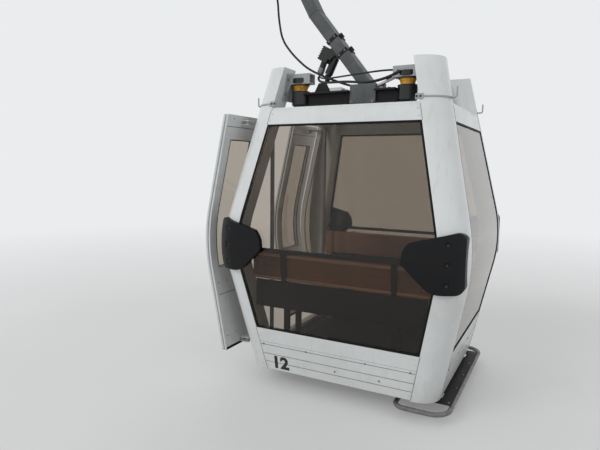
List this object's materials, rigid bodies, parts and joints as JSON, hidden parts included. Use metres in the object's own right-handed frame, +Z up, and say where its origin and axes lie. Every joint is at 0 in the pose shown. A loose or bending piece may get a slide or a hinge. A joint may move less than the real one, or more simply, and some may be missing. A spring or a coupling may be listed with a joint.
{
  "type": "cable car cabin",
  "caption": "Gondola lift cabin with tinted wrap windows, parallel swing doors, a cranked hanger arm and a rope grip.",
  "frame": {"origin": "on the rope's axis, at the middle of the grip's jaws", "axes": "+X along the rope, towards the numbered end; -Y towards the doors; +Z up"},
  "size_m": [1.6248, 1.8434, 4.441],
  "materials": {
    "cabin_paint": "gloss enamel, dirty",
    "door_paint": "gloss enamel, dirty",
    "tinted_glass": "bronze tint",
    "seal_rubber": "matte",
    "bumper_black": "moulded satin",
    "galvanised": "galvanised",
    "dark_steel": "black paint",
    "bracket_grey": "grey paint, weathered",
    "spring_yellow": "polyurethane",
    "bench_board": "brown laminate",
    "floor_grey": "ribbed mat",
    "inner_metal": "anodised",
    "hoop_steel": "dull steel",
    "cast_grip": "galvanised casting",
    "grip_steel": "machined",
    "tyre_rubber": "rubber",
    "unit_black": "black",
    "cable_black": "sheathed cable"
  },
  "bodies": {
    "grip": {"grip_body": "cast_grip", "grip_jaw": "cast_grip", "grip_springs": "grip_steel", "grip_shoe": "grip_steel", "hanger_pin": "grip_steel"},
    "wheel_front": {"wheel_front": "tyre_rubber"},
    "wheel_rear": {"wheel_rear": "tyre_rubber"},
    "guide_roller": {"guide_roller": "tyre_rubber"},
    "cabin": {"posts_window_side": "cabin_paint", "posts_door_side": "cabin_paint", "top_beams": "cabin_paint", "lower_panels": "cabin_paint", "window_seals": "seal_rubber", "window_front": "tinted_glass", "window_rear": "tinted_glass", "window_right": "tinted_glass", "door_header": "cabin_paint", "door_sill": "cabin_paint", "door_jambs": "cabin_paint", "door_side_lights": "tinted_glass", "floor_pan": "floor_grey", "roof_panel": "cabin_paint", "bench_boards": "bench_board", "bench_frames": "dark_steel", "waist_rails": "dark_steel", "bumpers": "bumper_black", "spring_cups": "dark_steel", "spring_blocks": "spring_yellow", "roof_cross_beams": "dark_steel", "roof_box": "galvanised", "post_gussets": "bracket_grey", "post_straps": "dark_steel", "hanger_arm": "galvanised", "hanger_head": "cast_grip", "arm_bands": "dark_steel", "control_unit": "unit_black", "guard_hoop": "hoop_steel", "guard_skirt": "dark_steel", "control_cables": "cable_black"},
    "door_front_arms": {"door_front_arms": "inner_metal"},
    "door_front_leaf": {"door_front_leaf": "door_paint", "door_front_pane": "tinted_glass"},
    "door_rear_arms": {"door_rear_arms": "inner_metal"},
    "door_rear_leaf": {"door_rear_leaf": "door_paint", "door_rear_pane": "tinted_glass"}
  },
  "joints": [
    {"name": "hanger_swing", "type": "hinge", "parent": "grip", "child": "cabin", "pos_m": [0, -0.25, -0.13], "axis": [0, 1, 0], "range_deg": [-30, 30]},
    {"name": "wheel_front_spin", "type": "hinge", "parent": "grip", "child": "wheel_front", "pos_m": [0.23, -0.192, 0.042], "axis": [0, 1, 0], "continuous": true},
    {"name": "wheel_rear_spin", "type": "hinge", "parent": "grip", "child": "wheel_rear", "pos_m": [-0.23, -0.192, 0.042], "axis": [0, 1, 0], "continuous": true},
    {"name": "guide_roller_spin", "type": "hinge", "parent": "grip", "child": "guide_roller", "pos_m": [0, -0.262, 0.132], "axis": [0, 1, 0], "continuous": true},
    {"name": "door_front_swing", "type": "hinge", "parent": "cabin", "child": "door_front_arms", "pos_m": [0.44, -0.6, -3.2], "axis": [0, 0, 1], "range_deg": [-112, 0]},
    {"name": "door_rear_swing", "type": "hinge", "parent": "cabin", "child": "door_rear_arms", "pos_m": [-0.44, -0.6, -3.2], "axis": [0, 0, -1], "range_deg": [-112, 0]},
    {"name": "door_front_level", "type": "hinge", "parent": "door_front_arms", "child": "door_front_leaf", "pos_m": [0.5093, -0.77153, -3.2], "axis": [0, 0, -1], "range_deg": [-112, 0]},
    {"name": "door_rear_level", "type": "hinge", "parent": "door_rear_arms", "child": "door_rear_leaf", "pos_m": [-0.5093, -0.77153, -3.2], "axis": [0, 0, 1], "range_deg": [-112, 0]}
  ],
  "couplings": [
    {"joint": "door_rear_swing", "follows": "door_front_swing", "ratio": 1},
    {"joint": "door_front_level", "follows": "door_front_swing", "ratio": 1},
    {"joint": "door_rear_level", "follows": "door_front_swing", "ratio": 1}
  ]
}
